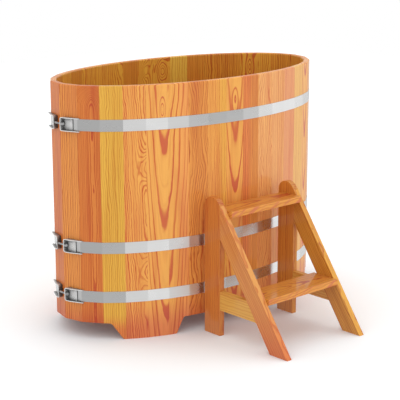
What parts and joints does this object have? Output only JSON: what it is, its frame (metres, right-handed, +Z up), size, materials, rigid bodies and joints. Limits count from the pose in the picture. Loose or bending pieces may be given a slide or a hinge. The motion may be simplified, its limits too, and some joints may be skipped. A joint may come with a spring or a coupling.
{
  "type": "oval plunge tub",
  "caption": "Oval wooden plunge tub of flat staves in bolted steel hoops, with a floor drain and a free-standing wooden step in front.",
  "frame": {"origin": "on the floor, under the centre of the tub's oval", "axes": "+X along the tub away from the hoop locks, -Y from the tub to the step, +Z up"},
  "size_m": [1.3275, 1.1652, 1.02],
  "materials": {
    "stave_larch": "satin oiled larch with reddish latewood",
    "floor_larch": "planed larch",
    "step_larch": "varnished larch",
    "dowel_beech": "plain beech",
    "hoop_steel": "satin stainless strip",
    "lock_steel": "pressed stainless sheet",
    "bolt_steel": "stainless fastener",
    "drain_brass": "turned brass",
    "black_rubber": "moulded rubber"
  },
  "bodies": {
    "tub": {"stave_01": "stave_larch", "stave_02": "stave_larch", "stave_03": "stave_larch", "stave_04": "stave_larch", "stave_05": "stave_larch", "stave_06": "stave_larch", "stave_07": "stave_larch", "stave_08": "stave_larch", "stave_09": "stave_larch", "stave_10": "stave_larch", "stave_11": "stave_larch", "stave_12": "stave_larch", "stave_13": "stave_larch", "stave_14": "stave_larch", "stave_15": "stave_larch", "stave_16": "stave_larch", "stave_17": "stave_larch", "stave_18": "stave_larch", "stave_19": "stave_larch", "stave_20": "stave_larch", "stave_21": "stave_larch", "stave_22": "stave_larch", "stave_23": "stave_larch", "stave_24": "stave_larch", "stave_25": "stave_larch", "stave_26": "stave_larch", "stave_27": "stave_larch", "stave_28": "stave_larch", "stave_29": "stave_larch", "stave_30": "stave_larch", "stave_31": "stave_larch", "stave_32": "stave_larch", "stave_33": "stave_larch", "stave_34": "stave_larch", "stave_35": "stave_larch", "stave_36": "stave_larch", "floor_boards": "floor_larch", "floor_battens": "floor_larch", "batten_screws": "bolt_steel", "hoop_top": "hoop_steel", "hoop_middle": "hoop_steel", "hoop_bottom": "hoop_steel", "lock_housings": "lock_steel", "lock_nuts": "bolt_steel", "drain_body": "drain_brass", "drain_gasket": "black_rubber", "drain_nut": "drain_brass"},
    "bolt_top": {"lock_bolt_top": "bolt_steel"},
    "bolt_middle": {"lock_bolt_middle": "bolt_steel"},
    "bolt_bottom": {"lock_bolt_bottom": "bolt_steel"},
    "plug": {"drain_plug": "black_rubber"},
    "step": {"step_post_left": "step_larch", "step_post_right": "step_larch", "step_leg_left": "step_larch", "step_leg_right": "step_larch", "step_brace_left": "step_larch", "step_brace_right": "step_larch", "step_tread_upper": "step_larch", "step_tread_lower": "step_larch", "step_dowels": "dowel_beech"}
  },
  "joints": [
    {"name": "lock_bolt_top_turn", "type": "hinge", "parent": "tub", "child": "bolt_top", "pos_m": [-0.66222, 0, 0.867], "axis": [0, 1, 0], "continuous": true},
    {"name": "lock_bolt_middle_turn", "type": "hinge", "parent": "tub", "child": "bolt_middle", "pos_m": [-0.66222, 0, 0.379], "axis": [0, 1, 0], "continuous": true},
    {"name": "lock_bolt_bottom_turn", "type": "hinge", "parent": "tub", "child": "bolt_bottom", "pos_m": [-0.66222, 0, 0.177], "axis": [0, 1, 0], "continuous": true},
    {"name": "drain_plug_lift", "type": "slide", "parent": "tub", "child": "plug", "axis": [0, 0, 1], "range_m": [0, 0.15]},
    {"name": "step_draw_away", "type": "slide", "parent": "tub", "child": "step", "axis": [0, -1, 0], "range_m": [0, 0.6]}
  ]
}
